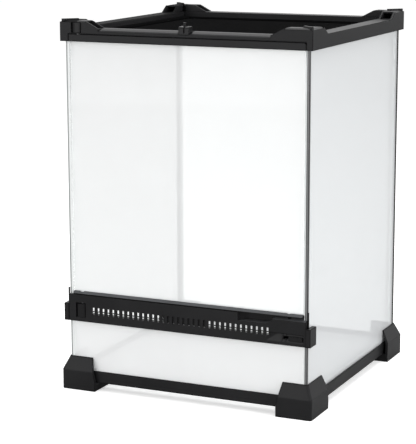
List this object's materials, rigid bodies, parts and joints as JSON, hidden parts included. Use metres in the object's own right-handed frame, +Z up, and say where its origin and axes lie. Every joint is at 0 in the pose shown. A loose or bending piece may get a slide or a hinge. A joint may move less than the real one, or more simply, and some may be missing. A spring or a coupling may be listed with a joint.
{
  "type": "reptile terrarium",
  "caption": "Front-opening glass terrarium with a swinging door, slotted vent bar with slide lock, moulded frames and feet, and a hinged screen lid.",
  "frame": {"origin": "on the floor under the centre of the tank, at the bottom of the feet", "axes": "+Z up, +X to the viewer's right facing the door, +Y to the back, the door faces -Y"},
  "size_m": [0.2208, 0.2208, 0.3048],
  "materials": {
    "frame_plastic": "black moulded plastic with a fine texture",
    "fitting_plastic": "black moulded plastic, slightly smoother",
    "clear_glass": "clear float glass with ground edges",
    "silicone": "black silicone sealant",
    "pin_steel": "plain steel pin",
    "screen_wire": "black woven wire screen"
  },
  "bodies": {
    "tank": {"base_frame": "frame_plastic", "front_left_foot": "frame_plastic", "front_right_foot": "frame_plastic", "rear_left_foot": "frame_plastic", "rear_right_foot": "frame_plastic", "floor_glass": "clear_glass", "left_pane": "clear_glass", "right_pane": "clear_glass", "rear_pane": "clear_glass", "lower_front_pane": "clear_glass", "corner_beads": "silicone", "floor_bead": "silicone", "vent_bar": "frame_plastic", "left_bar_clip": "frame_plastic", "right_bar_clip": "frame_plastic", "lower_hinge_barrel": "fitting_plastic", "lower_hinge_pin": "pin_steel", "top_frame": "frame_plastic", "upper_hinge_barrel": "fitting_plastic", "upper_hinge_pin": "pin_steel", "lock_cover": "fitting_plastic", "lock_cover_screws": "pin_steel"},
    "door": {"door_glass": "clear_glass", "door_top_rail": "frame_plastic", "door_bottom_strip": "frame_plastic"},
    "lid": {"lid_frame": "frame_plastic", "lid_screen": "screen_wire", "screen_retainer": "fitting_plastic", "lid_hinge_pins": "pin_steel"},
    "latch": {"lid_latch": "fitting_plastic"},
    "slider": {"lock_slider": "fitting_plastic"},
    "bolt": {"lock_bolt": "pin_steel"}
  },
  "joints": [
    {"name": "door_swing", "type": "hinge", "parent": "tank", "child": "door", "pos_m": [-0.0933, -0.1038, 0.18], "axis": [0, 0, -1], "range_deg": [0, 105]},
    {"name": "lid_lift", "type": "hinge", "parent": "tank", "child": "lid", "pos_m": [0, 0.092, 0.2919], "axis": [-1, 0, 0], "range_deg": [0, 93]},
    {"name": "latch_slide", "type": "slide", "parent": "tank", "child": "latch", "axis": [0, 1, 0], "range_m": [0, 0.005]},
    {"name": "lock_slide", "type": "slide", "parent": "tank", "child": "slider", "axis": [-1, 0, 0], "range_m": [0, 0.006]},
    {"name": "bolt_rise", "type": "slide", "parent": "tank", "child": "bolt", "axis": [0, 0, 1], "range_m": [0, 0.0045]}
  ],
  "couplings": [
    {"joint": "bolt_rise", "follows": "lock_slide", "ratio": 0.75}
  ]
}
